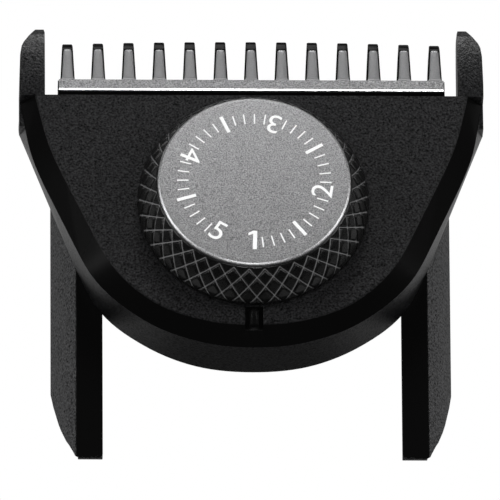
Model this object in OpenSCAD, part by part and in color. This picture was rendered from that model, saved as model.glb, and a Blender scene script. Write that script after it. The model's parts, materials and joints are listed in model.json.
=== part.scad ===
/* [Housing] */
// Slope of the front plate, thicker at the arm end, in degrees
wedge = 9; // [6:0.5:11]
// Height of the dial's centre on the front plate above the table
dial_z = 11.5; // [11.3:0.1:12]
// Distance of the dial's centre from the middle of the length
dial_y = 1.8; // [1:0.1:2.5]
// Distance from the dial's centre to the mouth edge, along the plate
mouth_v = 12.7; // [12.6:0.1:13]
// Depth of the bevel round the front plate
bevel = 1.8; // [1.5:0.1:2]
// Height of the flat back above the table
back_z = 6; // [5.8:0.1:6.2]
// Thickness of the front plate
plate_t = 1; // [0.9:0.05:1.05]
// Thickness of the back wall
floor_t = 0.7; // [0.6:0.05:0.75]

/* [Dial] */
// Largest radius of the knurled grip
grip_r = 11.33; // [10.8:0.05:11.4]
// Radius of the metal face
face_r = 9.4; // [9:0.1:9.5]
// Height of the face above the plate
face_w = 5.3; // [5.2:0.1:6]
// Number of click positions in a full turn
clicks = 44; // [40:1:48]
// Number of clicks used between the two ends of the scale
clicks_used = 40; // [30:1:40]

/* [Comb] */
// Number of teeth, an odd number
teeth = 13; // [5:2:13]
// Distance between teeth
pitch = 3; // [2.6:0.1:3]
// Travel of the comb from the shortest to the longest setting
travel = 4; // [2:0.5:4]
// Half width of the cross bar
bar_x = 18.95; // [18.7:0.05:19.2]
// Width of a tooth at its root
tooth_root = 1.42; // [1.2:0.02:1.6]
// Width of a tooth at its tip
tooth_tip = 1.06; // [0.9:0.02:1.2]

/* [Arms and horns] */
// Distance from the middle to the outer face of an arm
arm_out = 19.6; // [19.3:0.1:19.8]
// Distance from the middle to the inner face of an arm
arm_in = 14.6; // [14.2:0.1:15]
// Distance from the middle to the ridge of an arm
ridge_x = 17; // [16.9:0.1:17.5]
// Thickness of an arm's inner flange
flange_t = 1.5; // [1.3:0.1:1.8]
// Distance from the dial's centre to the end of an arm
arm_reach = 24; // [23.5:0.1:24.5]
// Distance from the dial's centre to the tip of a horn
horn_reach = 20.4; // [20:0.1:21]
// Distance from the middle to the outer side of a horn
horn_out = 22.73; // [22.6:0.01:23]
// Distance from the middle to the inner side of a horn
horn_in = 20.22; // [19.9:0.01:20.5]

/* [Hidden] */
$fn = 64;
thin = 0.01;

// Half outlines from the mouth to the middle of the arm end, each a smooth curve through its points.
// The first two are on the plate, the last is on the flat back, all measured from the dial's centre.
PLATE_EDGE = [[21.05, 12.7], [19.6, 6.8], [16.9, 0.5], [13.6, -6.4],
    [9.6, -10.5], [4.7, -12.45], [0, -12.9]];
BEVEL_EDGE = [[22.58, 12.7], [21.42, 6.4], [18.45, -0.8], [15.25, -7.4],
    [10.3, -11.9], [5, -14.1], [0, -14.65]];
BACK_EDGE = [[22.7, 11.95], [22.7, 9.6], [21.6, 8.3], [19.5, 2.3], [17.6, -3.4],
    [14.8, -8.9], [10.5, -12.4], [5.5, -14.5], [0, -15.1]];

plate_w = -plate_t;          // underside of the front plate
lid_w = -bevel;              // joint between the front shell and the rear frame
step_deg = 360 / clicks;
dial_turn = step_deg * clicks_used;
post_r = 3.2;
run = 0.05;                  // running clearance of a shaft or a slide
key_r = 1.6;
cam_r = 8;
cam_top = plate_w - 0.15;
cam_t = 0.9;
cam_low = cam_top - cam_t;
pin_r = 0.5;
groove_r = pin_r + run;
scroll_in = 2.7;             // radius at which the scroll starts
slide_top = cam_low - 0.05;  // upper face of the comb's thin tongue
slide_low = slide_top - 0.6; // lower face of the comb's slide
wing_x = 17.4;
rail_t = 0.55;
core_r = 8.9;
core_low = 3.6;
core_top = 4.75;
click_r = 6.5;
ball_r = 0.6;
click_top = 1;
boss_r = 1.5;
cover_screw_at = [[13.4, -1.5], [6.3, -9.6]];
arm_screw_at = [[16.3, -3], [16.1, 4.6]];
arm_root = 9;                // how far an arm runs under the housing, past the dial's centre
arm_boss_r = 1.2;
tooth_v = 13.5;              // lower edge of the metal facing
bar_top = 14.7;              // upper edge of its bar
finger_v = 18.15;            // ends of its fingers
finger_in = 0.13;            // how far a metal finger is inside its tooth's sides
facing_w = -0.35;
facing_t = 0.3;
stop_at = 60;                // direction of the dial's end stop, in degrees
stop_wide = 16;

// Puts its children on the sloping front plate: X across, Y to the teeth, Z out of the plate
module on_plate() { translate([0, dial_y, dial_z]) rotate([-wedge, 0, 0]) children(); }

module mirrored(side) { if (side > 0) children(); else mirror([1, 0, 0]) children(); }

// Point of a smooth curve between b and c, with a and d as their neighbours
function spline(a, b, c, d, t) = 0.5 * (2 * b + (c - a) * t + (2 * a - 5 * b + 4 * c - d) * t * t
    + (3 * b - a - 3 * c + d) * t * t * t);

// Whole outline from a half one: the curve is mirrored about the middle
function full_outline(half, steps = 7) =
    let (
        n = len(half),
        last = half[n - 2],
        ring = concat([2 * half[0] - half[1]], half, [[-last[0], last[1]]]),
        right = [for (i = [0:n - 2]) for (s = [0:steps - 1])
            spline(ring[i], ring[i + 1], ring[i + 2], ring[i + 3], s / steps)],
        m = len(right)
    )
    concat(right, [half[n - 1]], [for (i = [m - 1:-1:0]) [-right[i][0], right[i][1]]]);

// Level of a horizontal plane, z above the table, in the plate's own frame at distance v
function level(z, v) = (z - dial_z + v * sin(wedge)) / cos(wedge);

module outline_slab(half, w) { translate([0, 0, w]) linear_extrude(thin) polygon(full_outline(half)); }

// Outer form of the front shell, in the plate's frame
module shell_form() {
    hull() {
        outline_slab(PLATE_EDGE, -thin);
        outline_slab(BEVEL_EDGE, lid_w);
    }
}

// Outer form of the rear frame's tub
module tub_form() {
    hull() {
        on_plate() outline_slab(BEVEL_EDGE, lid_w - 2 * thin);
        translate([0, dial_y, back_z]) linear_extrude(thin) polygon(full_outline(BACK_EDGE));
    }
}

// Space inside the housing, open at the mouth
module cavity(low) {
    translate([0, 0, low]) linear_extrude(plate_w - low) union() {
        intersection() {
            polygon(full_outline(PLATE_EDGE));
            translate([-30, -20]) square([60, 20 + mouth_v - 1.2]);
        }
        translate([-wing_x - rail_t - run, 2]) square([2 * (wing_x + rail_t + run), 14]);
    }
}

// Places its children at the four cover screws
module at_cover_screws() {
    for (side = [-1, 1]) for (p = cover_screw_at) translate([side * p[0], p[1], 0]) children();
}

// Places its children at the four arm screws, on the table
module at_arm_screws() {
    for (side = [-1, 1]) for (p = arm_screw_at) translate([side * p[0], dial_y + p[1], 0]) children();
}

// Wedge of a circle between two angles, for stops
module sector(r_in, r_out, from_deg, wide_deg) {
    n = 8;
    polygon(concat(
        [for (i = [0:n]) let (a = from_deg + wide_deg * i / n) r_out * [cos(a), sin(a)]],
        [for (i = [n:-1:0]) let (a = from_deg + wide_deg * i / n) r_in * [cos(a), sin(a)]]));
}

module front_shell() {
    color("#26272a") on_plate() {
        difference() {
            shell_form();
            cavity(lid_w - 1);
            translate([0, 0, plate_w - 1]) cylinder(r = 4, h = plate_t + 2);
            translate([-0.88, -14.5, -0.55]) cube([1.76, 3.4, 1]);
        }
        // end stop for the dial
        translate([0, 0, -0.1]) linear_extrude(1.3)
            sector(7.55, 8.05, stop_at - stop_wide / 2, stop_wide);
        // screw bosses
        at_cover_screws() translate([0, 0, lid_w]) difference() {
            cylinder(r = boss_r, h = -lid_w - 0.5);
            translate([0, 0, -1]) cylinder(r = 0.55, h = -lid_w + 0.4);
        }
    }
}

// Head seat of a cover screw, a little above the flat back
function seat_w(v) = level(back_z, v) + 0.9;

module rear_frame() {
    color("#1f2022") {
        difference() {
            union() {
                tub_form();
                for (side = [-1, 1]) mirrored(side) horn();
            }
            difference() {
                on_plate() cavity(-9);
                translate([-30, -30, back_z - 5]) cube([60, 60, 5 + floor_t]);
                on_plate() at_cover_screws() translate([0, 0, -12])
                    cylinder(r = boss_r, h = 12 + lid_w - 2 * thin);
                intersection() {
                    at_arm_screws() cylinder(r = arm_boss_r, h = 12);
                    on_plate() translate([-30, -30, -12]) cube([60, 60, 12 + slide_low - 0.2]);
                }
            }
            on_plate() {
                at_cover_screws() translate([0, 0, -12]) cylinder(r = 0.75, h = 12);
                for (side = [-1, 1]) for (p = cover_screw_at)
                    translate([side * p[0], p[1], -12]) cylinder(r = 1.25, h = 12 + seat_w(p[1]));
                translate([0, 0, -9]) cylinder(r = 2.2, h = 7);
                // clears the front shell's skirt at the horns
                translate([0, 0, lid_w - thin]) linear_extrude(4)
                    translate([-30, 0]) square([60, mouth_v + 0.06]);
            }
            at_arm_screws() translate([0, 0, back_z - 1]) cylinder(r = 0.5, h = 2.4);
        }
    }
}

// Side guard beside the comb, right-hand
module horn() {
    tip_y = dial_y + horn_reach;
    root_y = dial_y + 9.6;
    intersection() {
        // seen from the front
        linear_extrude(12) polygon([
            [horn_out, root_y], [horn_out, tip_y - 6.5], [horn_out - 0.08, tip_y - 3.4],
            [horn_out - 0.22, tip_y - 2.4], [horn_out - 0.42, tip_y - 1.9],
            [horn_out - 1.11, tip_y - 0.9], [horn_out - 1.48, tip_y - 0.38],
            [horn_out - 1.74, tip_y - 0.1], [horn_out - 1.98, tip_y], [horn_in + 0.3, tip_y - 0.04],
            [horn_in + 0.1, tip_y - 0.25], [horn_in, tip_y - 0.7], [horn_in, root_y]]);
        // seen from the side
        translate([horn_in - 1, 0, 0]) rotate([90, 0, 90]) linear_extrude(6) polygon([
            [root_y, back_z], [root_y + 0.8, back_z - 0.5], [root_y + 2.2, back_z - 1.2],
            [tip_y - 3, back_z - 1.2], [tip_y - 1.2, back_z - 0.8], [tip_y - 0.3, back_z],
            [tip_y, back_z + 0.8], [tip_y - 0.25, back_z + 1.6], [tip_y - 1.1, back_z + 2.25],
            [tip_y - 3, back_z + 2.75], [tip_y - 5.5, back_z + 3.15], [tip_y - 7.6, back_z + 3.3],
            [root_y, back_z + 3.3]]);
    }
}

// Side wall of an arm, seen along the arm, convex outside
module arm_wall() {
    polygon([[ridge_x - 1.2, back_z], [ridge_x, back_z], [ridge_x + 0.3, back_z - 0.1],
        [ridge_x + 1.15, back_z - 1.4], [ridge_x + 1.85, back_z - 3], [ridge_x + 2.35, back_z - 4.5],
        [arm_out, 0.5], [arm_out - 0.08, 0.15], [arm_out - 0.3, 0], [arm_out - 1.2, 0],
        [arm_out - 1.45, 0.4], [ridge_x + 0.45, back_z - 3.2], [ridge_x - 0.3, back_z - flange_t]]);
}

// Arm that slides over the clipper's flank: a side wall and a flange that runs in the clipper's groove
module arm() {
    end_y = dial_y - arm_reach;
    root_y = dial_y + arm_root;
    difference() {
        union() {
            intersection() {
                translate([0, root_y, 0]) rotate([90, 0, 0])
                    linear_extrude(root_y - end_y) arm_wall();
                // the free end sweeps up to the ridge
                translate([arm_in, 0, 0]) rotate([90, 0, 90]) linear_extrude(6) polygon([
                    [root_y, back_z + 1], [root_y, 1], [root_y - 1, 0], [end_y + 10.2, 0],
                    [end_y + 8.6, 0.45], [end_y + 6.4, 1.8], [end_y + 3.6, 3.55], [end_y + 1.6, 5.05],
                    [end_y + 0.5, 5.75], [end_y, back_z], [end_y, back_z + 1]]);
            }
            intersection() {
                translate([arm_in, end_y, back_z - flange_t])
                    cube([ridge_x - arm_in, root_y - end_y, flange_t]);
                linear_extrude(12) polygon([[arm_in, root_y], [arm_in, end_y + 0.4],
                    [arm_in + 0.15, end_y + 0.12], [arm_in + 0.45, end_y], [30, end_y], [30, root_y]]);
                rotate([90, 0, 90]) linear_extrude(30) polygon([
                    [root_y, 0], [end_y + 0.5, 0], [end_y + 0.35, back_z - flange_t],
                    [end_y, back_z - 0.15], [end_y + 0.1, back_z], [root_y, back_z]]);
            }
            // bump that clicks into the clipper's side
            translate([arm_in + 0.1, dial_y - 5, back_z - flange_t / 2]) sphere(r = 0.5);
        }
        for (p = arm_screw_at) translate([p[0], dial_y + p[1], 0]) {
            cylinder(r = 0.6, h = 12);
            cylinder(r = 1, h = back_z - flange_t + 0.5);
        }
    }
}

module left_arm() { color("#2c2d30") mirrored(-1) arm(); }
module right_arm() { color("#2c2d30") arm(); }

// How much further than the end teeth a tooth at distance x from the middle reaches
function nose(x) = 0.4 - 0.33 * (x / 18) * (x / 18);

// One tooth of the comb: a fin with a round nose
module fin(more) {
    half = tooth_tip / 2;
    intersection() {
        rotate([90, 0, 90]) translate([0, 0, -1]) linear_extrude(2) polygon([
            [13, -2], [13.15, -0.65], [finger_v, -0.65], [18.6 + more, -0.8], [19.1 + more, -1.25],
            [19.3 + more, -1.9], [19.15 + more, -2.6], [18.6 + more, -3.3], [17.2, -4.2], [15.2, -5.1],
            [13.8, -5.5], [13.2, -5.5], [13, -5.2]]);
        translate([0, 0, -7]) linear_extrude(8) polygon([
            [-tooth_root / 2, 12], [tooth_root / 2, 12], [tooth_root / 2, 14.7], [half, 18.5],
            [half - 0.04, 19 + more], [half - 0.24, 19.35 + more], [0.24 - half, 19.35 + more],
            [0.04 - half, 19 + more], [-half, 18.5], [-tooth_root / 2, 14.7]]);
    }
}

module comb() {
    color("#18191b") on_plate() difference() {
        union() {
            for (i = [0:teeth - 1]) let (x = (i - (teeth - 1) / 2) * pitch)
                translate([x, 0, 0]) fin(nose(x));
            // cross bar
            rotate([90, 0, 90]) translate([0, 0, -bar_x]) linear_extrude(2 * bar_x) polygon([
                [12.95, -0.8], [13.1, -0.65], [bar_top, -0.65], [bar_top, -2.4], [14.3, slide_low],
                [12.95, slide_low]]);
            // slide: thick wings and a thin tongue under the scroll
            translate([-wing_x, 9, slide_low]) cube([2 * wing_x, 4, cam_top - slide_low]);
            for (side = [-1, 1]) mirrored(side)
                translate([10.4, 3.4, slide_low]) cube([wing_x - 10.4, 6, cam_top - slide_low]);
            translate([-10.6, 5.2, slide_low]) cube([21.2, 4.2, slide_top - slide_low]);
            translate([-2.2, scroll_in - 0.75, slide_low]) cube([4.4, 4, slide_top - slide_low]);
        }
        translate([0, scroll_in, -5]) cylinder(r = pin_r, h = 5);
        translate([0, 0, slide_top]) cylinder(r = cam_r + 0.2, h = 2);
    }
}

module tooth_facing() {
    root = tooth_root / 2 - finger_in;
    tip = tooth_tip / 2 - finger_in;
    color("#a9abae") on_plate() translate([0, 0, facing_w - facing_t]) linear_extrude(facing_t) union() {
        translate([-18.85, tooth_v]) square([37.7, bar_top - tooth_v]);
        for (i = [0:teeth - 1]) translate([(i - (teeth - 1) / 2) * pitch, 0]) polygon([
            [-root - 0.25, bar_top - 0.01], [root + 0.25, bar_top - 0.01], [root, bar_top + 0.25],
            [tip, finger_v - 0.2], [tip - 0.15, finger_v], [0.15 - tip, finger_v], [-tip, finger_v - 0.2],
            [-root, bar_top + 0.25]]);
    }
}

module follower_pin() {
    color("#c9cbce") on_plate() translate([0, scroll_in, slide_low - 0.2]) union() {
        cylinder(r = pin_r, h = cam_top - 0.35 - (slide_low - 0.2));
        cylinder(r = 0.8, h = 0.2);
    }
}

module dial_grip() {
    color("#1a1b1c") on_plate() rotate_extrude($fn = 96) polygon([
        [core_r + run, 0.3], [grip_r - 0.9, 0.15], [grip_r - 0.45, 0.2], [grip_r - 0.1, 0.55], [grip_r, 1],
        [grip_r - 0.08, 1.6], [grip_r - 0.35, 2.4], [grip_r - 0.8, 3.3], [grip_r - 1.35, 4.15],
        [grip_r - 1.8, 4.7], [core_r + run, 4.75]]);
}

module dial_face() {
    color("#8f9092") on_plate() rotate_extrude($fn = 96) polygon([
        [0, 4.76], [face_r, 4.76], [face_r, face_w - 0.2], [face_r - 0.2, face_w], [0, face_w]]);
}

module dial_core() {
    lug_wide = 360 - dial_turn - stop_wide - 0.4;
    color("#3a3b3e") on_plate() difference() {
        union() {
            rotate_extrude() polygon([
                [0, cam_top], [post_r, cam_top], [post_r, 0.85], [4.6, 0.85], [4.6, core_low],
                [8.25, core_low], [8.25, 0.3], [core_r, 0.3], [core_r, core_top], [0, core_top]]);
            translate([0, 0, cam_low + 0.2]) cylinder(r = key_r, h = 2, $fn = 6);
            translate([click_r, 0, click_top + 0.5]) cylinder(r = 1.15, h = core_low - click_top);
            // lug that meets the plate's end stop
            translate([0, 0, 0.6]) linear_extrude(core_low)
                sector(7.65, 8.4, stop_at - stop_wide / 2 - lug_wide - 0.2, lug_wide);
        }
        translate([click_r, 0, 0]) cylinder(r = ball_r + run, h = core_low + 0.3);
        translate([0, 0, -4]) cylinder(r = 0.7, h = 6);
    }
}

// Centre line of the scroll groove, as seen from the front, and its two sides
function scroll(a, side) = let (r = scroll_in + travel * a / dial_turn + side * groove_r)
    r * [cos(90 + a), sin(90 + a)];

module scroll_cam() {
    steps = 72;
    color("#d8d4c6") on_plate() difference() {
        translate([0, 0, cam_low]) cylinder(r = cam_r, h = cam_t);
        translate([0, 0, cam_low - 1]) cylinder(r = key_r + 0.02, h = 3, $fn = 6);
        translate([0, 0, cam_low - 1]) linear_extrude(1 + cam_t - 0.3) union() {
            polygon(concat([for (i = [0:steps]) scroll(dial_turn * i / steps, 1)],
                [for (i = [steps:-1:0]) scroll(dial_turn * i / steps, -1)]));
            translate(scroll(0, 0)) circle(r = groove_r);
            translate(scroll(dial_turn, 0)) circle(r = groove_r);
        }
    }
}

module spindle_washer() {
    color("#b8babd") on_plate() translate([0, 0, cam_low - 0.2]) difference() {
        cylinder(r = 1.8, h = 0.2);
        translate([0, 0, -1]) cylinder(r = 0.75, h = 3);
    }
}

module spindle_screw() {
    color("#9fa1a4") on_plate() difference() {
        union() {
            translate([0, 0, cam_low - 0.65]) cylinder(r = 1.45, h = 0.45);
            translate([0, 0, cam_low - 0.3]) cylinder(r = 0.7, h = 3.2);
        }
        for (turn = [0, 90]) rotate([0, 0, turn])
            translate([-0.9, -0.15, cam_low - 1]) cube([1.8, 0.3, 0.6]);
    }
}

module click_ball() {
    color("#c4c6c9") on_plate() translate([click_r, 0, click_top + ball_r + 0.03]) sphere(r = ball_r);
}

module click_spring() {
    turns = 4;
    coil_r = 0.42;
    low = click_top + 2 * ball_r + 0.12;
    color("#aeb0b3") on_plate() for (i = [0:turns - 1])
        translate([click_r, 0, low + i * (core_low + 0.2 - low) / turns])
            rotate_extrude() translate([coil_r, 0.12]) circle(r = 0.1, $fn = 16);
}

module click_ring() {
    groove = 0.28;
    color("#d8d4c6") on_plate() difference() {
        cylinder(r = 7.4, h = click_top);
        translate([0, 0, -1]) cylinder(r = 5.6, h = click_top + 2);
        for (i = [0:clicks - 1]) rotate([0, 0, i * step_deg]) translate([5, 0, click_top])
            rotate([0, 90, 0]) rotate([0, 0, 45]) translate([-groove, -groove, 0])
                cube([2 * groove, 2 * groove, 3]);
    }
}

module dial_bush() {
    color("#c8a24a") on_plate() rotate_extrude() polygon([
        [post_r + run, plate_w], [4, plate_w], [4, 0], [4.8, 0], [4.8, 0.4], [post_r + run, 0.4]]);
}

module wave_washer() {
    color("#b8babd") on_plate() translate([0, 0, 0.45]) difference() {
        cylinder(r = 4.5, h = 0.3);
        translate([0, 0, -1]) cylinder(r = post_r + 0.2, h = 3);
    }
}

module index_pointer() {
    color("#0e0e0f") on_plate() translate([0, -13.3, -0.05]) rotate([-90, 0, 0]) union() {
        cylinder(r = 0.5, h = 1.5);
        translate([0, 0, 1.5]) sphere(r = 0.5, $fn = 32);
    }
}

module guide_rail() {
    on_plate() difference() {
        translate([wing_x + run, 4.6, -5]) cube([rail_t - run, 6.6, 5 + plate_w - 0.05]);
        rotate([wedge, 0, 0]) translate([0, -20, back_z + floor_t - dial_z - 10])
            cube([40, 60, 10]);
    }
}

module left_guide_rail() { color("#d8d4c6") mirrored(-1) guide_rail(); }
module right_guide_rail() { color("#d8d4c6") guide_rail(); }

// Bent leaf between the back wall and the comb's wing
module rattle_spring() {
    low_a = level(back_z + floor_t, 4) + 0.05;
    low_b = level(back_z + floor_t, 8.6) + 0.05;
    top = slide_low - 0.06;
    on_plate() translate([12.2, 0, 0]) rotate([90, 0, 90]) linear_extrude(2.2) polygon([
        [4, low_a + 0.15], [5.6, top - 0.15], [6.2, top], [6.8, top - 0.15], [8.6, low_b + 0.15],
        [8.6, low_b], [6.75, top - 0.32], [6.2, top - 0.17], [5.7, top - 0.35], [4.2, low_a]]);
}

module left_rattle_spring() { color("#b8babd") mirrored(-1) rattle_spring(); }
module right_rattle_spring() { color("#b8babd") rattle_spring(); }

module mouth_wiper() {
    low = back_z + floor_t;
    color("#4a4a4c") on_plate() rotate([90, 0, 90]) translate([0, 0, -16]) linear_extrude(32) polygon([
        [10.6, level(low, 10.6)], [11.8, level(low, 11.8)],
        [11.8, slide_low - 0.05], [10.6, slide_low - 0.05]]);
}

module back_plug() {
    color("#1f2022") on_plate() translate([0, 0, level(back_z, 0) + 0.36]) cylinder(r = 2.2, h = 0.7);
}

// Screw along +Z with its head below, at the origin
module screw(shank_r, head_r, head_t, length) {
    difference() {
        union() {
            translate([0, 0, -head_t]) cylinder(r = head_r, h = head_t);
            translate([0, 0, -thin]) cylinder(r = shank_r, h = length);
        }
        for (turn = [0, 90]) rotate([0, 0, turn])
            translate([-head_r * 0.65, -0.12, -head_t - 1]) cube([head_r * 1.3, 0.24, 1 + head_t / 2]);
    }
}

module cover_screws() {
    color("#9fa1a4") on_plate() for (side = [-1, 1]) for (p = cover_screw_at)
        translate([side * p[0], p[1], seat_w(p[1])]) screw(0.55, 1.15, 0.5, -1.4 - seat_w(p[1]));
}

module arm_screws() {
    color("#9fa1a4") at_arm_screws()
        translate([0, 0, back_z - flange_t + 0.5]) screw(0.5, 0.9, 0.4, 2.3);
}

front_shell();
rear_frame();
left_arm();
right_arm();
comb();
tooth_facing();
follower_pin();
dial_grip();
dial_face();
dial_core();
scroll_cam();
spindle_washer();
spindle_screw();
click_ball();
click_spring();
click_ring();
dial_bush();
wave_washer();
index_pointer();
left_guide_rail();
right_guide_rail();
left_rattle_spring();
right_rattle_spring();
mouth_wiper();
back_plug();
cover_screws();
arm_screws();
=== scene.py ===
# %% [markdown]
# # A guide comb with a length dial
# This lesson dresses a small clip-on comb: a black housing with a knurled dial, a satin scale, a sliding
# row of teeth and two arms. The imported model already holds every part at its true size, so the lesson only
# adds what a plain model lacks: rounded edges, a real knurl, a printed scale, grain, light and a camera.

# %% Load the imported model
import json
import math

import bpy
import numpy as np
from mathutils import Matrix, Vector


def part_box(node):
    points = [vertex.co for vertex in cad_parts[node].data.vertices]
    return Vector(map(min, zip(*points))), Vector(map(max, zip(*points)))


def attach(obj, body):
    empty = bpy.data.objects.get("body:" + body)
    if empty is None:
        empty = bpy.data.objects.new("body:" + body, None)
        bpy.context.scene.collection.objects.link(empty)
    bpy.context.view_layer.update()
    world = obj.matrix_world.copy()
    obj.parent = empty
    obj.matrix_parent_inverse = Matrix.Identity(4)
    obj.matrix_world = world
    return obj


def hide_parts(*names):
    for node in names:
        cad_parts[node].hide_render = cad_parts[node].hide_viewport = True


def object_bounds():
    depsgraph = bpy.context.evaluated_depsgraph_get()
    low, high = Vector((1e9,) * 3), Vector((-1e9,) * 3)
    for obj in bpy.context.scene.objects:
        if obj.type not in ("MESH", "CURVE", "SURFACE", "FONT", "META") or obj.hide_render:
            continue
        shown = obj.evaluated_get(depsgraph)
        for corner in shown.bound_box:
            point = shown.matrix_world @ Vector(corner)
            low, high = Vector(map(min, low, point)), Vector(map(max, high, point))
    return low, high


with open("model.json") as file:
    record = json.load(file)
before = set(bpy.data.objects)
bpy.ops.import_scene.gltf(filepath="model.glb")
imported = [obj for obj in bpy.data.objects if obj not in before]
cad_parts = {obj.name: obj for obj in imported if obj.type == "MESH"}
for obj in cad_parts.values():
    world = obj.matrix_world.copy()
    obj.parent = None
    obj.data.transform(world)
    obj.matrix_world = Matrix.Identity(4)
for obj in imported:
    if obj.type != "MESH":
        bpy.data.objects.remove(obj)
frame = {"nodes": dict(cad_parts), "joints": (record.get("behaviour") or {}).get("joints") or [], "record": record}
CAD_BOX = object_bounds()
MM = 0.001

# %% [markdown]
# ## The sloping plate
# The dial and the comb work on a plate that slopes towards the teeth. The joints already say how: the dial
# turns about the plate's normal, and the comb slides along it. So a point is given as millimetres across,
# along and out of the plate, and one small function puts whole arrays of such points in their place.

# %% A frame of the plate from the joints
JOINTS = {joint["name"]: joint for joint in frame["joints"]}
DIAL_CENTRE = np.array(JOINTS["dial_turn"]["pos_m"])
ACROSS = np.array([1.0, 0.0, 0.0])
ALONG = np.array(JOINTS["comb_travel"]["axis"])
OUT = -np.array(JOINTS["dial_turn"]["axis"])


def on_plate(points):
    """Metres of plate points in millimetres: centre + across * x + along * v + out * w."""
    points = np.asarray(points, float) * MM
    return DIAL_CENTRE + points[..., :1] * ACROSS + points[..., 1:2] * ALONG + points[..., 2:3] * OUT


SLOPE = math.degrees(math.asin(OUT[1]))
print("plate slope:", round(SLOPE, 2), "degrees, dial centre:", DIAL_CENTRE.round(4))

# %% [markdown]
# ## Camera
# The comb lies on its back and is seen almost from above, from the side of the arms. A long lens from 1.5 m
# keeps the sides parallel. The view is turned a touch to the left and rolled a quarter of a degree. It aims
# a little below the dial, so the whole comb fills the square.

# %% The camera
VIEW_ELEVATION = math.radians(69.0)
VIEW_LEFT = 0.027
VIEW_ROLL = math.radians(0.22)
VIEW_DISTANCE = 1.5
PICTURE_WIDTH = 48.74 * MM
AIM_BELOW, AIM_LEFT = 4.14 * MM, 0.27 * MM
SENSOR = 36.0
BACK = np.array([-VIEW_LEFT, -math.cos(VIEW_ELEVATION), math.sin(VIEW_ELEVATION)])
BACK /= np.linalg.norm(BACK)
RIGHT = ACROSS - (ACROSS @ BACK) * BACK
RIGHT /= np.linalg.norm(RIGHT)
UP = np.cross(BACK, RIGHT)
AIM = DIAL_CENTRE - AIM_BELOW * UP - AIM_LEFT * RIGHT

camera_data = bpy.data.cameras.new("camera")
camera_data.sensor_width = SENSOR
camera_data.lens = SENSOR * VIEW_DISTANCE / PICTURE_WIDTH
camera_data.clip_start = 0.01
camera_data.clip_end = 20.0
camera = bpy.data.objects.new("camera", camera_data)
bpy.context.scene.collection.objects.link(camera)
turn = Matrix((RIGHT, UP, BACK)).transposed().to_4x4() @ Matrix.Rotation(VIEW_ROLL, 4, "Z")
camera.matrix_world = Matrix.Translation(Vector(AIM + VIEW_DISTANCE * BACK)) @ turn
bpy.context.scene.camera = camera
print("lens:", round(camera_data.lens, 1), "mm")

# %% [markdown]
# ## Light
# Black plastic shows its form only by what it mirrors, so the light is staged with care. The table is white
# to the camera, but to the part it is a soft glow that is dark under the middle and bright to the sides:
# that lights the arms and leaves the bevels black. A Light Path node tells the two kinds of rays apart.

# %% Helpers for node trees
def ranged(tree, value, span, levels, ease="LINEAR"):
    """A node that goes from the first to the second of `levels` while a value crosses `span`."""
    node = tree.nodes.new("ShaderNodeMapRange")
    node.interpolation_type = ease
    for socket, number in zip(("From Min", "From Max", "To Min", "To Max"), (*span, *levels)):
        node.inputs[socket].default_value = number
    tree.links.new(value, node.inputs["Value"])
    return node


def glow(tree, kind, strength):
    """A white emission or background node of one strength."""
    node = tree.nodes.new(kind)
    node.inputs["Color"].default_value = (1, 1, 1, 1)
    node.inputs["Strength"].default_value = strength
    return node


def seen_and_lit(tree, seen, lit):
    """The output of a mix that gives the camera's own rays `seen` and every other ray `lit`."""
    ray = tree.nodes.new("ShaderNodeLightPath")
    mix = tree.nodes.new("ShaderNodeMixShader")
    tree.links.new(ray.outputs["Is Camera Ray"], mix.inputs[0])
    tree.links.new(lit.outputs[0], mix.inputs[1])
    tree.links.new(seen.outputs[0], mix.inputs[2])
    return mix.outputs[0]


print("helpers:", ranged.__name__, glow.__name__, seen_and_lit.__name__)

# %% [markdown]
# ## The table
# One square, just under the lowest point of the part. Its glow is a product of two ranges of the distance
# from the middle line: one that rises beside the arms, and one that falls off further out.

# %% The table
TABLE_HALF = 3.0
TABLE_GAP = 0.02 * MM
TABLE_GLOW = (0.08, 0.75)
TABLE_SIDES = (0.008, 0.034)
FAR_GLOW = (1.0, 0.1)
TABLE_FAR = (0.045, 0.08)


def table_material():
    """White to the camera; to other rays, side glow times far glow, both ranges of the distance |x|."""
    material = bpy.data.materials.new("table_pale")
    material.use_nodes = True
    tree = material.node_tree
    place = tree.nodes.new("ShaderNodeTexCoord")
    split = tree.nodes.new("ShaderNodeSeparateXYZ")
    aside = tree.nodes.new("ShaderNodeMath")
    aside.operation = "ABSOLUTE"
    both = tree.nodes.new("ShaderNodeMath")
    both.operation = "MULTIPLY"
    lit = glow(tree, "ShaderNodeEmission", 1.0)
    tree.links.new(place.outputs["Object"], split.inputs[0])
    tree.links.new(split.outputs["X"], aside.inputs[0])
    near = ranged(tree, aside.outputs[0], TABLE_SIDES, TABLE_GLOW, "SMOOTHSTEP")
    far = ranged(tree, aside.outputs[0], TABLE_FAR, FAR_GLOW, "SMOOTHSTEP")
    tree.links.new(near.outputs["Result"], both.inputs[0])
    tree.links.new(far.outputs["Result"], both.inputs[1])
    tree.links.new(both.outputs[0], lit.inputs["Strength"])
    mixed = seen_and_lit(tree, glow(tree, "ShaderNodeEmission", 1.0), lit)
    tree.links.new(mixed, tree.nodes["Material Output"].inputs["Surface"])
    return material


def make_table():
    """A flat square under the lowest point of the part."""
    mesh = bpy.data.meshes.new("table")
    low = CAD_BOX[0][2] - TABLE_GAP
    corners = [(x * TABLE_HALF, y * TABLE_HALF, low) for x, y in ((-1, -1), (1, -1), (1, 1), (-1, 1))]
    mesh.from_pydata(corners, [], [(0, 1, 2, 3)])
    table = bpy.data.objects.new("table", mesh)
    bpy.context.scene.collection.objects.link(table)
    mesh.materials.append(table_material())
    return table


print("table:", 2 * TABLE_HALF, "m, glow beside the arms:", make_table().data.materials[0].name, TABLE_GLOW)

# %% [markdown]
# ## Panels and room
# A panel behind the teeth puts a sheen on the scale, one above the camera's line draws the chamfers, and two
# at the sides light the plate without a shadow of the dial across it. The room itself is nearly dark.

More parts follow.
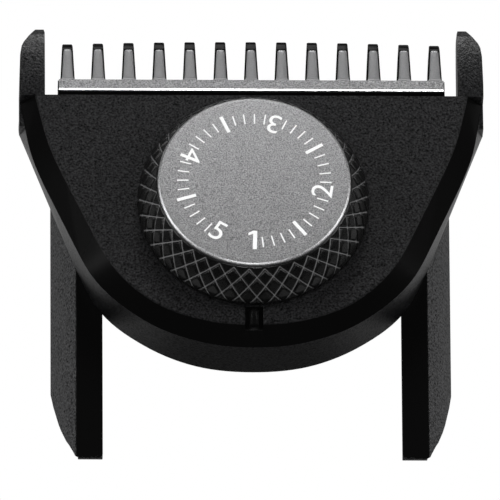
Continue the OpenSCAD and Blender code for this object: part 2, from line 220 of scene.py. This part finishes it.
# %% Panels and room
ROOM_GLOW = 0.03


def make_panel(name, place, size, power):
    """A soft rectangular light at a place in metres that faces the dial."""
    data = bpy.data.lights.new(name, "AREA")
    data.shape = "RECTANGLE"
    data.size, data.size_y = size
    data.energy = power
    panel = bpy.data.objects.new(name, data)
    bpy.context.scene.collection.objects.link(panel)
    panel.location = Vector(place)
    toward = Vector(DIAL_CENTRE) - panel.location
    panel.rotation_euler = toward.to_track_quat("-Z", "Y").to_euler()
    return panel


make_panel("panel_behind", (0.0, 0.66, 0.33), (0.3, 0.2), 1.7)
make_panel("panel_above", 0.7 * BACK, (0.14, 0.14), 1.7)
make_panel("panel_left", (-0.52, 0.12, 0.42), (0.3, 0.4), 2.2)
make_panel("panel_right", (0.52, 0.12, 0.42), (0.3, 0.4), 2.2)

world = bpy.data.worlds.new("room")
world.use_nodes = True
room = world.node_tree
room_light = seen_and_lit(room, glow(room, "ShaderNodeBackground", 1.0),
                          glow(room, "ShaderNodeBackground", ROOM_GLOW))
room.links.new(room_light, room.nodes["World Output"].inputs[0])
bpy.context.scene.world = world
bpy.context.scene.view_settings.view_transform = "Standard"

# %% [markdown]
# ## Finishes
# Each finish is a small node tree on Object coordinates, so it stays put on its piece. One noise does all
# the work: it mottles the colour, spreads the roughness and the shine, and raises a fine bump. Spark-eroded
# plastic glitters a little because its shine changes from grain to grain, which is what `glint` is for.

# %% A helper for finishes
NOISE_SPAN = (0.3, 0.7)
NOISE_DETAIL = 3.0


def finish(name, colour, roughness, metallic=0.0, specular=0.5, grain=4000.0, depth=0.0, mottle=0.0,
           rough_spread=0.0, glint=0.0, stretch=(1, 1, 1)):
    """A material whose colour, roughness and shine are spread by one noise, with a bump in metres."""
    material = bpy.data.materials.new(name)
    material.use_nodes = True
    tree = material.node_tree
    shader = tree.nodes["Principled BSDF"]
    shader.inputs["Base Color"].default_value = (*colour, 1)
    shader.inputs["Roughness"].default_value = roughness
    shader.inputs["Metallic"].default_value = metallic
    shader.inputs["Specular IOR Level"].default_value = specular
    place = tree.nodes.new("ShaderNodeTexCoord")
    mapping = tree.nodes.new("ShaderNodeMapping")
    mapping.inputs["Scale"].default_value = stretch
    tree.links.new(place.outputs["Object"], mapping.inputs["Vector"])
    noise = tree.nodes.new("ShaderNodeTexNoise")
    noise.inputs["Scale"].default_value = grain
    noise.inputs["Detail"].default_value = NOISE_DETAIL
    tree.links.new(mapping.outputs["Vector"], noise.inputs["Vector"])
    if mottle:
        share = ranged(tree, noise.outputs["Fac"], NOISE_SPAN, (1.0 - mottle, 1.0 + mottle))
        tint = tree.nodes.new("ShaderNodeVectorMath")
        tint.operation = "SCALE"
        tint.inputs[0].default_value = colour
        tree.links.new(share.outputs["Result"], tint.inputs["Scale"])
        tree.links.new(tint.outputs["Vector"], shader.inputs["Base Color"])
    for socket, middle, spread in (("Roughness", roughness, rough_spread),
                                   ("Specular IOR Level", specular, glint)):
        if spread:
            level = ranged(tree, noise.outputs["Fac"], NOISE_SPAN, (middle - spread, middle + spread))
            tree.links.new(level.outputs["Result"], shader.inputs[socket])
    if depth:
        bump = tree.nodes.new("ShaderNodeBump")
        bump.inputs["Strength"].default_value = 1.0
        bump.inputs["Distance"].default_value = depth
        tree.links.new(noise.outputs["Fac"], bump.inputs["Height"])
        tree.links.new(bump.outputs["Normal"], shader.inputs["Normal"])
    return material


print("noise span:", NOISE_SPAN)

# %% [markdown]
# ## Plastics and metals
# The housing is grained black plastic, the grip and the teeth are smoother, and the scale and the facing of
# the teeth are blasted metal. The pieces inside are steel, brass and white acetal.

# %% Plastics, rubber and print
PLASTICS = {
    "matte_black": dict(colour=(0.008, 0.008, 0.0085), roughness=0.55, specular=0.16, grain=5000,
                        depth=0.00006, mottle=0.95, glint=0.12),
    "frame_black": dict(colour=(0.0045, 0.0045, 0.005), roughness=0.34, specular=0.38, grain=5000,
                        depth=0.00004, mottle=0.9, glint=0.26),
    "comb_black": dict(colour=(0.001, 0.001, 0.001), roughness=0.2, specular=0.05, grain=5000,
                       depth=0.000004, rough_spread=0.05),
    "grip_black": dict(colour=(0.003, 0.003, 0.003), roughness=0.3, specular=0.32, grain=7000,
                       depth=0.000006, rough_spread=0.06),
    "gloss_black": dict(colour=(0.003, 0.003, 0.003), roughness=0.18, specular=0.3, grain=3000,
                        depth=0.000001, rough_spread=0.03),
    "white_acetal": dict(colour=(0.72, 0.70, 0.64), roughness=0.45, grain=2500, depth=0.000003,
                         mottle=0.04, rough_spread=0.05),
    "seal_rubber": dict(colour=(0.03, 0.03, 0.03), roughness=0.7, grain=6000, depth=0.00001,
                        rough_spread=0.06),
    "white_print": dict(colour=(0.95, 0.95, 0.95), roughness=0.4, grain=9000, depth=0.000002, mottle=0.05),
}
FINISHES = {name: finish(name, **look) for name, look in PLASTICS.items()}
print("plastics:", sorted(FINISHES))

# %% Metals
METALS = {
    "satin_metal": dict(colour=(0.33, 0.33, 0.335), roughness=0.42, grain=9000, depth=0.000006,
                        mottle=0.08, rough_spread=0.06),
    "dial_metal": dict(colour=(0.40, 0.40, 0.405), roughness=0.42, grain=8000, depth=0.00002,
                       mottle=0.45, rough_spread=0.08),
    "steel": dict(colour=(0.55, 0.55, 0.56), roughness=0.28, grain=4000, depth=0.000004,
                  rough_spread=0.08, stretch=(1, 6, 1)),
    "bush_brass": dict(colour=(0.65, 0.47, 0.2), roughness=0.3, grain=3000, depth=0.000003,
                       rough_spread=0.06),
}
FINISHES.update({name: finish(name, metallic=1.0, **look) for name, look in METALS.items()})
print("metals:", sorted(METALS))

# %% [markdown]
# ## Polished faces, with painted shade
# A moulding tool is often grained on one face and polished on the next. Here the bevel round the plate and
# the flat top of each arm are polished, and their base colour is darkened as well: painted shade that keeps
# them black. Both lie beyond a level, so a mask made from the Object position along one direction is enough,
# and it goes round the part without a texture being painted.

# %% Polished and shaded beyond a level
# Painted shade: the near-black base colour given to the polished faces.
POLISH_SHADE_COLOUR = (0.003, 0.003, 0.003)
POLISH_SPECULAR = 0.09
MIX_LOW, MIX_HIGH, MIX_RESULT = 6, 7, 2


def blend_colour(tree, shader, share, colour):
    """Blends the shader's base colour, as it is so far, to `colour` by a share from 0 to 1."""
    base = shader.inputs["Base Color"]
    mix = tree.nodes.new("ShaderNodeMix")
    mix.data_type = "RGBA"
    mix.inputs[MIX_LOW].default_value = base.default_value
    mix.inputs[MIX_HIGH].default_value = (*colour, 1)
    if base.is_linked:
        tree.links.new(base.links[0].from_socket, mix.inputs[MIX_LOW])
    tree.links.new(share, mix.inputs[0])
    tree.links.new(mix.outputs[MIX_RESULT], base)


def blend_value(tree, share, socket, high):
    """Blends a socket from what it is so far to `high` by a share from 0 to 1."""
    node = ranged(tree, share, (0, 1), (socket.default_value, high))
    if socket.is_linked:
        tree.links.new(socket.links[0].from_socket, node.inputs["To Min"])
    tree.links.new(node.outputs["Result"], socket)


def polish_and_shade(material, direction, rough_at, polished_at, shine):
    """Polishes a finish beyond a level and darkens its base colour there as painted shade: the mask is the Object
    position along `direction`, in metres.
    """
    tree = material.node_tree
    shader = tree.nodes["Principled BSDF"]
    place = tree.nodes.new("ShaderNodeTexCoord")
    height = tree.nodes.new("ShaderNodeVectorMath")
    height.operation = "DOT_PRODUCT"
    height.inputs[1].default_value = direction
    tree.links.new(place.outputs["Object"], height.inputs[0])
    share = ranged(tree, height.outputs["Value"], (rough_at, polished_at), (0, 1)).outputs["Result"]
    blend_value(tree, share, shader.inputs["Roughness"], shine)
    blend_value(tree, share, shader.inputs["Specular IOR Level"], POLISH_SPECULAR)
    blend_value(tree, share, tree.nodes["Bump"].inputs["Strength"], 0.0)
    # Painted shade: the base colour goes to near black on the polished faces.
    blend_colour(tree, shader, share, POLISH_SHADE_COLOUR)


ARM_BLACK = finish("arm_black", (0.015, 0.015, 0.016), 0.5, specular=0.4, grain=4800, depth=0.00008,
                   mottle=1.0, glint=0.38)
ARM_TOP = (5.86 * MM, 5.96 * MM)
polish_and_shade(ARM_BLACK, (0, 0, 1), *ARM_TOP, shine=0.14)
PLATE_LEVEL = float(DIAL_CENTRE @ OUT)
polish_and_shade(FINISHES["matte_black"], tuple(OUT), PLATE_LEVEL - 0.10 * MM, PLATE_LEVEL - 0.20 * MM, shine=0.18)
print("polished above", ARM_TOP[0], "m on the arms, and below the plate's level", round(PLATE_LEVEL, 5), "m")

# %% [markdown]
# ## Dress the carried-over parts
# The record names a finish for every part, so a loop hands them out. The arms are the one exception: their
# side walls are coarser than the rest, so they have a finish of their own.

# %% Finishes for every node
ARMS = ("left_arm", "right_arm")
for row in frame["record"]["subparts"]:
    part = frame["nodes"][row["node"]]
    part.data.materials.clear()
    part.data.materials.append(ARM_BLACK if row["node"] in ARMS else FINISHES[row["material_slot"]])

# %% [markdown]
# ## Rounded edges
# Moulded parts never have a knife edge: a tiny round catches the light along every edge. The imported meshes
# are loose triangles, so a weld joins them first, and a bevel that looks only at sharp edges rounds them.
# Smooth shading with weighted normals then keeps flat faces flat and lets the curved walls flow.

# %% Rounded edges
ROUNDED = {"front_shell": 0.08, "rear_frame": 0.16, "left_arm": 0.14, "right_arm": 0.14, "comb": 0.10}
SHARP = math.radians(26.0)
WELD_GAP = 0.0005 * MM


def round_edges(part, radius):
    """Welds the triangles, bevels every sharp edge by `radius` mm, and weights the normals by area."""
    part.data.polygons.foreach_set("use_smooth", np.ones(len(part.data.polygons), bool))
    weld = part.modifiers.new("weld", "WELD")
    weld.merge_threshold = WELD_GAP
    bevel = part.modifiers.new("round", "BEVEL")
    bevel.width = radius * MM
    bevel.segments = 3
    bevel.limit_method = "ANGLE"
    bevel.angle_limit = SHARP
    bevel.use_clamp_overlap = True
    even = part.modifiers.new("even", "WEIGHTED_NORMAL")
    even.weight = 100
    even.keep_sharp = False


for name, radius in ROUNDED.items():
    round_edges(frame["nodes"][name], radius)
print("rounded, in mm:", ROUNDED)

# %% [markdown]
# ## Surfaces from grids
# Turned and moulded pieces are easiest as a grid of points worked out from two parameters. The columns of
# the grid join up round the piece, and each quad joins a point with its next row and its next column.

# %% A new piece from a grid
def place_mesh(name, points, faces, body, slot, *nodes, smooth=True, caps=(), material=None):
    """A new piece from points in metres, face corners and any end caps, shown instead of the named nodes."""
    mesh = bpy.data.meshes.new(name)
    mesh.from_pydata(points.tolist(), [], faces.tolist() + [list(map(int, cap)) for cap in caps])
    mesh.polygons.foreach_set("use_smooth", np.full(len(mesh.polygons), smooth))
    mesh.materials.append(material or FINISHES[slot])
    piece = bpy.data.objects.new(name, mesh)
    bpy.context.scene.collection.objects.link(piece)
    if nodes:
        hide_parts(*nodes)
    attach(piece, body)
    print(name, "faces:", len(mesh.polygons))
    return piece


def ring_faces(rows, columns):
    """Corner indices of the quads of a grid whose columns close round."""
    row, column = np.meshgrid(np.arange(rows - 1), np.arange(columns), indexing="ij")
    right = (column + 1) % columns
    return np.stack([row * columns + column, row * columns + right, (row + 1) * columns + right,
                     (row + 1) * columns + column], -1).reshape(-1, 4)


print("quads of a ring of 2 rows and 4 columns:", len(ring_faces(2, 4)))

# %% Turned profiles
def turned(profile, columns):
    """Points of a turned piece: each profile point (r, w) carried round the dial's axis in even steps."""
    profile = np.asarray(profile, float)
    angle = np.linspace(0, 2 * np.pi, columns, endpoint=False)
    r, w = profile[:, :1], profile[:, 1:2]
    return np.stack([r * np.cos(angle), r * np.sin(angle), w + 0 * angle], -1)


def even_steps(corners, count):
    """`count` points evenly spaced along the line through `corners`, and their distances along it."""
    corners = np.asarray(corners, float)
    length = np.r_[0, np.cumsum(np.linalg.norm(np.diff(corners, axis=0), axis=1))]
    steps = np.linspace(0, length[-1], count)
    return np.stack([np.interp(steps, length, corners[:, i]) for i in range(corners.shape[1])], -1), steps


print("a turned ring:", turned([(1.0, 0.0)], 8).shape)

# %% [markdown]
# ## The knurled grip
# The grip is a flared hard ring that fingers turn, cut with two sets of crossing grooves. The grooves are
# real geometry, because an image or a bump would not break the outline. Two families of helical lines run
# round the flared wall, and the surface sinks along each line, which leaves a net of square pads. The
# bottom of a groove is painted paler than the pads, a painted highlight for the light that the groove walls
# catch, so the net stands out.

# %% Profile of the grip's wall
GRIP_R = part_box("dial_grip")[1][0] / MM
PADS_ROUND = 40
GRIP_COLUMNS = PADS_ROUND * 24
GRIP_ROWS = 64
GRIP_INNER = GRIP_R - 2.3
FLANK = [(GRIP_R - 0.1, 0.55), (GRIP_R, 1.0), (GRIP_R - 0.08, 1.6), (GRIP_R - 0.35, 2.4),
         (GRIP_R - 0.8, 3.3), (GRIP_R - 1.35, 4.15), (GRIP_R - 1.8, 4.7)]
SKIRT = [(GRIP_INNER, 0.3), (GRIP_R - 0.9, 0.15), (GRIP_R - 0.45, 0.2)]
LIP = [(GRIP_R - 1.9, 4.75), (GRIP_INNER, 4.75)]
flank, along = even_steps(FLANK, GRIP_ROWS)
from_top = along[-1] - along
print("wall of the grip:", round(along[-1], 2), "mm high along its slope")

# %% Grooves of the grip
GROOVE_HALF = 0.17
GROOVE_DEPTH = 0.2
PAD_PHASE = 0.37
FIRST_ROW, ROWS_PER_MM, ROWS_EASE = 0.14, 1.13, 0.062
FADE_BELOW, FADE_ABOVE = 0.2, 0.12


def groove(lines):
    """Depth share of a groove: a raised cosine, 1 on whole numbers and 0 from GROOVE_HALF to either side."""
    distance = np.abs(lines - np.round(lines))
    return 0.5 + 0.5 * np.cos(np.pi * np.clip(distance / GROOVE_HALF, 0, 1))


def knurled_grip():
    """A turned wall sunk along its normal by the deeper of two crossing grooves, with plain rings inside."""
    wall = turned(flank, GRIP_COLUMNS)
    turns = np.arange(GRIP_COLUMNS) / GRIP_COLUMNS * PADS_ROUND
    rows = ROWS_PER_MM * (from_top - FIRST_ROW) - ROWS_EASE * (from_top - FIRST_ROW) ** 2
    depth = np.maximum(groove(turns + PAD_PHASE + rows[:, None] / 2),
                       groove(turns + PAD_PHASE - rows[:, None] / 2))
    fade = np.clip(along / FADE_BELOW, 0, 1) * np.clip(from_top / FADE_ABOVE, 0, 1)
    share = depth * fade[:, None]
    slope = np.gradient(flank, axis=0)
    outward = np.stack([slope[:, 1], -slope[:, 0]], -1) / np.linalg.norm(slope, axis=1)[:, None]
    sink = GROOVE_DEPTH * share
    radius = np.linalg.norm(wall[..., :2], axis=-1)
    wall[..., :2] *= ((radius - sink * outward[:, :1]) / radius)[..., None]
    wall[..., 2] -= sink * outward[:, 1:2]
    rings = np.concatenate([turned(SKIRT, GRIP_COLUMNS), wall, turned(LIP, GRIP_COLUMNS),
                            turned(SKIRT[:1], GRIP_COLUMNS)])
    shares = np.zeros(rings.shape[:2])
    shares[len(SKIRT):len(SKIRT) + len(wall)] = share
    return on_plate(rings).reshape(-1, 3), ring_faces(len(rings), GRIP_COLUMNS), shares.ravel()


grip_points, grip_faces, grip_shares = knurled_grip()
grip = place_mesh("knurled_grip", grip_points, grip_faces, "dial", "grip_black", "dial_grip")
grip.data.attributes.new("groove", "FLOAT", "POINT").data.foreach_set("value", grip_shares)
print("deepest groove:", round(GROOVE_DEPTH * grip_shares.max(), 3), "mm")

# %% Painted highlight in the grooves
# Painted highlight: a pale grey in the groove bottoms stands for the light that the groove walls catch.
GROOVE_HIGHLIGHT_COLOUR = (0.22, 0.22, 0.222)
GROOVE_FLOOR = (0.72, 1.0)


def paint_groove_highlight(material):
    """Paints a highlight: blends the base colour to the pale highlight colour where the groove attribute crosses
    its floor range.
    """
    tree = material.node_tree
    share = tree.nodes.new("ShaderNodeAttribute")
    share.attribute_name = "groove"
    mask = ranged(tree, share.outputs["Fac"], GROOVE_FLOOR, (0, 1))
    blend_colour(tree, tree.nodes["Principled BSDF"], mask.outputs["Result"], GROOVE_HIGHLIGHT_COLOUR)


paint_groove_highlight(FINISHES["grip_black"])
print("grooves:", GROOVE_HIGHLIGHT_COLOUR)

# %% [markdown]
# ## The metal face
# The face is a blasted metal disc, a little domed. A stack of rings makes it. Its rim has a narrow chamfer
# that faces the camera along the lower edge, and that is what draws the thin bright line there.

# %% The face
FACE_R, FACE_W = 9.4, 5.3
FACE_LOW = 4.76
FACE_COLUMNS = 192
DOME = 0.14
RIM = 0.22
RIM_SLOPE = 0.58
RIM_SOFT = 0.03
POLE = 0.01


def dome(r):
    """Height of the domed top at radius r: the middle's height less DOME times (r / R) squared."""
    return FACE_W - DOME * (r / FACE_R) ** 2


def metal_face():
    """A turned disc: domed top, a chamfer of 30 degrees at the rim, straight side, flat underside."""
    top = dome(FACE_R - RIM)
    rim = np.array([(FACE_R, top - RIM * RIM_SLOPE - 0.06), (FACE_R - 0.02, top - RIM * RIM_SLOPE),
                    (FACE_R - 0.04, top - (RIM - 0.04) * RIM_SLOPE),
                    (FACE_R - RIM + RIM_SOFT, top - RIM_SOFT * RIM_SLOPE), (FACE_R - RIM, top - 0.002)])
    r = np.linspace(FACE_R - RIM - RIM_SOFT, POLE, 40)
    rings = np.concatenate([[(POLE, FACE_LOW), (FACE_R, FACE_LOW)], rim, np.stack([r, dome(r)], -1)])
    points = turned(rings, FACE_COLUMNS)
    return on_plate(points).reshape(-1, 3), ring_faces(len(rings), FACE_COLUMNS)


face_points, face_faces = metal_face()
face = place_mesh("metal_face", face_points, face_faces, "dial", "dial_metal", "dial_face")

# %% [markdown]
# ## The printed scale
# The scale is white ink, a hundredth of a millimetre thick. Each number has ten divisions to the next, the
# fifth long and thick. The numbers run round the face with their tops to the centre, so the one at the
# pointer reads upright from the pointer's side.

# %% Ticks
INK = 0.012
DIVISIONS = 10
NUMBER_STEP = 82.4
FIRST_AT = -92.0
TICK_IN, TICK_OUT, TICK_HALF = 0.68, 0.80, 0.07
LONG_IN, LONG_OUT, LONG_HALF = 0.63, 0.835, 0.17
NUMBERS = "12345"


def inked(flat):
    """Flat face points lifted to a layer of ink on the domed top."""
    return np.c_[flat, dome(np.linalg.norm(flat, axis=1)) + INK]


def tick_marks():
    """Flat quads from one radius to another, one for each division between two numbers."""
    index = np.arange(1, DIVISIONS * (len(NUMBERS) - 1))
    index = index[index % DIVISIONS != 0]
    angle = np.radians(FIRST_AT + index * NUMBER_STEP / DIVISIONS)
    long = index % DIVISIONS == DIVISIONS // 2
    inner = (np.where(long, LONG_IN, TICK_IN) * FACE_R)[:, None]
    outer = (np.where(long, LONG_OUT, TICK_OUT) * FACE_R)[:, None]
    half = np.where(long, LONG_HALF, TICK_HALF)[:, None]
    outward = np.stack([np.cos(angle), np.sin(angle)], -1)
    round_face = np.stack([-np.sin(angle), np.cos(angle)], -1)
    corners = [inner * outward - half * round_face, outer * outward - half * round_face,
               outer * outward + half * round_face, inner * outward + half * round_face]
    flat = np.stack(corners, 1).reshape(-1, 2)
    return on_plate(inked(flat)), np.arange(len(flat)).reshape(-1, 4)


tick_points, tick_faces = tick_marks()
ticks = place_mesh("scale_ticks", tick_points, tick_faces, "dial", "white_print", smooth=False)

# %% [markdown]
# ## The numbers
# A number is a text object turned into a mesh, so its outline is a real letterform. Only the 1 is drawn from
# listed points, for a clear flag. Each is then laid on the face by the same two directions as a tick.

# %% Letterforms
ONE_POINTS = np.array([(-0.09, -0.5), (0.09, -0.5), (0.09, 0.5), (-0.09, 0.5), (-0.09, 0.33),
                       (-0.30, 0.23), (-0.30, 0.37)])
ONE_CORNERS = np.array([(0, 1, 2), (0, 2, 3), (3, 4, 5), (3, 5, 6)])


def letterform(character):
    """Flat points and triangles of one character."""
    if character == "1":
        return ONE_POINTS, ONE_CORNERS
    curve = bpy.data.curves.new("number", "FONT")
    curve.body = character
    letter = bpy.data.objects.new("number", curve)
    mesh = letter.to_mesh()
    points = np.empty(len(mesh.vertices) * 3)
    mesh.vertices.foreach_get("co", points)
    mesh.calc_loop_triangles()
    corners = np.empty(len(mesh.loop_triangles) * 3, int)
    mesh.loop_triangles.foreach_get("vertices", corners)
    letter.to_mesh_clear()
    bpy.data.objects.remove(letter)
    return points.reshape(-1, 3)[:, :2], corners.reshape(-1, 3)


print("triangles of a letterform:", len(letterform("2")[1]))

# %% Numbers on the face
DIGIT_HEIGHT = 2.05
DIGIT_WIDEN = 1.08
DIGIT_AT = 0.71


def number_mark(character, angle):
    """Points and triangles of one character, its middle on the scale's circle and its top to the centre."""
    points, corners = letterform(character)
    low, high = points.min(0), points.max(0)
    points = (points - (low + high) / 2) * (DIGIT_HEIGHT / (high[1] - low[1]))
    up = -np.array([math.cos(angle), math.sin(angle)])
    right = np.array([up[1], -up[0]])
    flat = points[:, :1] * DIGIT_WIDEN * right + points[:, 1:2] * up - up * DIGIT_AT * FACE_R
    return inked(flat), corners


def all_numbers():
    """Every number's mark in one array, each one's corner indices moved past the points before it."""
    marks = [number_mark(c, math.radians(FIRST_AT + i * NUMBER_STEP)) for i, c in enumerate(NUMBERS)]
    starts = np.cumsum([0] + [len(points) for points, _ in marks[:-1]])
    return (on_plate(np.concatenate([points for points, _ in marks])),
            np.concatenate([corners + start for (_, corners), start in zip(marks, starts)]))


number_points, number_faces = all_numbers()
numbers = place_mesh("scale_numbers", number_points, number_faces, "dial", "white_print", smooth=False)

# %% [markdown]
# ## The bar of the facing
# A thin metal strip guards the teeth: a blasted bar, and a smooth finger on each tooth. The bar is one
# profile carried across. Its lower edge is chamfered, and that one strip of faces has a second, much paler
# metal: a painted highlight along the lower edge.

# %% The bar
BAR_X, BAR_LOW, BAR_TOP = 18.85, 13.5, 14.7
FACING_W, FACING_T = -0.35, 0.3
FACING_LOW = FACING_W - FACING_T
HIGHLIGHT_FACE = 2
BAR_METAL = finish("bar_metal", (0.34, 0.34, 0.345), 0.42, metallic=1.0, grain=7000, depth=0.00004,
                   mottle=0.5)
# Painted highlight: a pale metal for the chamfer along the bar's lower edge.
EDGE_HIGHLIGHT_METAL = finish("edge_highlight_metal", (0.80, 0.80, 0.80), 0.34, metallic=1.0, grain=9000, depth=0.000004,
                   rough_spread=0.05)
BAR_PROFILE = np.array([(BAR_LOW, FACING_LOW), (BAR_LOW, FACING_W - 0.10),
                        (BAR_LOW + 0.015, FACING_W - 0.085), (BAR_LOW + 0.14, FACING_W - 0.01),
                        (BAR_LOW + 0.17, FACING_W), (BAR_TOP - 0.09, FACING_W),
                        (BAR_TOP - 0.03, FACING_W - 0.03), (BAR_TOP, FACING_W - 0.09),
                        (BAR_TOP, FACING_LOW)])


def across_bar():
    """The closed profile (v, w) carried from -BAR_X to BAR_X, with its two end caps."""
    x = np.array([-BAR_X, -BAR_X + 0.02, 0, BAR_X - 0.02, BAR_X])
    points = np.empty((len(x), len(BAR_PROFILE), 3))
    points[..., 0] = x[:, None]
    points[..., 1:] = BAR_PROFILE
    last = (len(x) - 1) * len(BAR_PROFILE)
    caps = [np.arange(len(BAR_PROFILE))[::-1], last + np.arange(len(BAR_PROFILE))]
    return on_plate(points).reshape(-1, 3), ring_faces(len(x), len(BAR_PROFILE)), caps


bar_points, bar_faces, bar_caps = across_bar()
facing_bar = place_mesh("facing_bar", bar_points, bar_faces, "comb_slide", "satin_metal", "tooth_facing",
                        smooth=False, caps=bar_caps, material=BAR_METAL)
facing_bar.data.materials.append(EDGE_HIGHLIGHT_METAL)
# The chamfer faces get the pale metal of the painted highlight.
highlight_faces = np.zeros(len(facing_bar.data.polygons), int)
highlight_faces[HIGHLIGHT_FACE:len(bar_faces):len(BAR_PROFILE)] = 1
facing_bar.data.polygons.foreach_set("material_index", highlight_faces)
print("bright faces of the bar:", highlight_faces.sum())

# %% [markdown]
# ## The fingers of the facing
# A finger is a cross-section carried along its tooth: flared where it leaves the bar, tapered, and rounded
# at its end. It starts a little below the bar, which leaves a fine crease. One finger is worked out, and
# the array is repeated at the pitch of the teeth.

# %% The fingers
TEETH, PITCH = 13, 3.0
FINGER_END = 18.15
ROOT_HALF, TIP_HALF = 0.58, 0.40
CREASE, CREASE_LONG = 0.09, 0.16
FLARE_R = 0.22
END_LONG, END_IN, END_DROP = 0.25, 0.24, 0.10
SECTION_SIDE = np.array([-1, -1, -1, -1, 1, 1, 1, 1])
SECTION_IN = np.array([0, 0, 0.03, 0.10, 0.10, 0.03, 0, 0])
SECTION_DROP = np.array([1, 0.09, 0.025, 0, 0, 0.025, 0.09, 1])


def finger_sections():
    """One finger on a grid: at each distance v, eight points round a flat section with rounded shoulders.
    Half width = taper + flare - end, where the flare and the end are quarter circles. The section's top
    dips by CREASE beside the bar and by END_DROP at the end, and a drop of 1 means the underside."""
    v = np.unique(np.r_[np.linspace(BAR_TOP - 0.06, BAR_TOP + 0.3, 10),
                        np.linspace(BAR_TOP + 0.3, FINGER_END - END_LONG, 6),
                        FINGER_END - END_LONG + END_LONG * np.sin(np.linspace(0, np.pi / 2, 8))])
    taper = np.interp(v, [BAR_TOP, FINGER_END], [ROOT_HALF, TIP_HALF])
    near_bar = np.clip(1 - (v - BAR_TOP) / FLARE_R, 0, 1)
    flare = FLARE_R * (1 - np.sqrt(np.clip(1 - near_bar ** 2, 0, 1)))
    end = np.clip((v - FINGER_END + END_LONG) / END_LONG, 0, 1)
    half = taper + flare - END_IN * (1 - np.sqrt(np.clip(1 - end ** 2, 0, 1)))
    top = FACING_W - CREASE * np.clip(1 - (v - BAR_TOP) / CREASE_LONG, 0, 1) - END_DROP * end ** 3
    x = SECTION_SIDE * (half[:, None] - SECTION_IN)
    w = np.where(SECTION_DROP == 1, FACING_LOW, top[:, None] - SECTION_DROP)
    return np.stack([x, v[:, None] + 0 * x, w], -1)


def fingers():
    """The finger's grid repeated at the pitch, its quads turned to face out, and two caps on each."""
    one = finger_sections()
    rows, corners = one.shape[:2]
    centres = (np.arange(TEETH) - (TEETH - 1) / 2) * PITCH
    points = one[None] + centres[:, None, None, None] * ACROSS
    quads = ring_faces(rows, corners)[:, ::-1]
    starts = np.arange(TEETH) * rows * corners
    section = np.arange(corners)
    caps = np.concatenate([starts[:, None] + section,
                           starts[:, None] + (rows - 1) * corners + section[::-1]])
    return on_plate(points).reshape(-1, 3), (quads[None] + starts[:, None, None]).reshape(-1, 4), caps


finger_points, finger_faces, finger_caps = fingers()
facing_fingers = place_mesh("facing_fingers", finger_points, finger_faces, "comb_slide", "satin_metal",
                            "tooth_facing", caps=finger_caps)
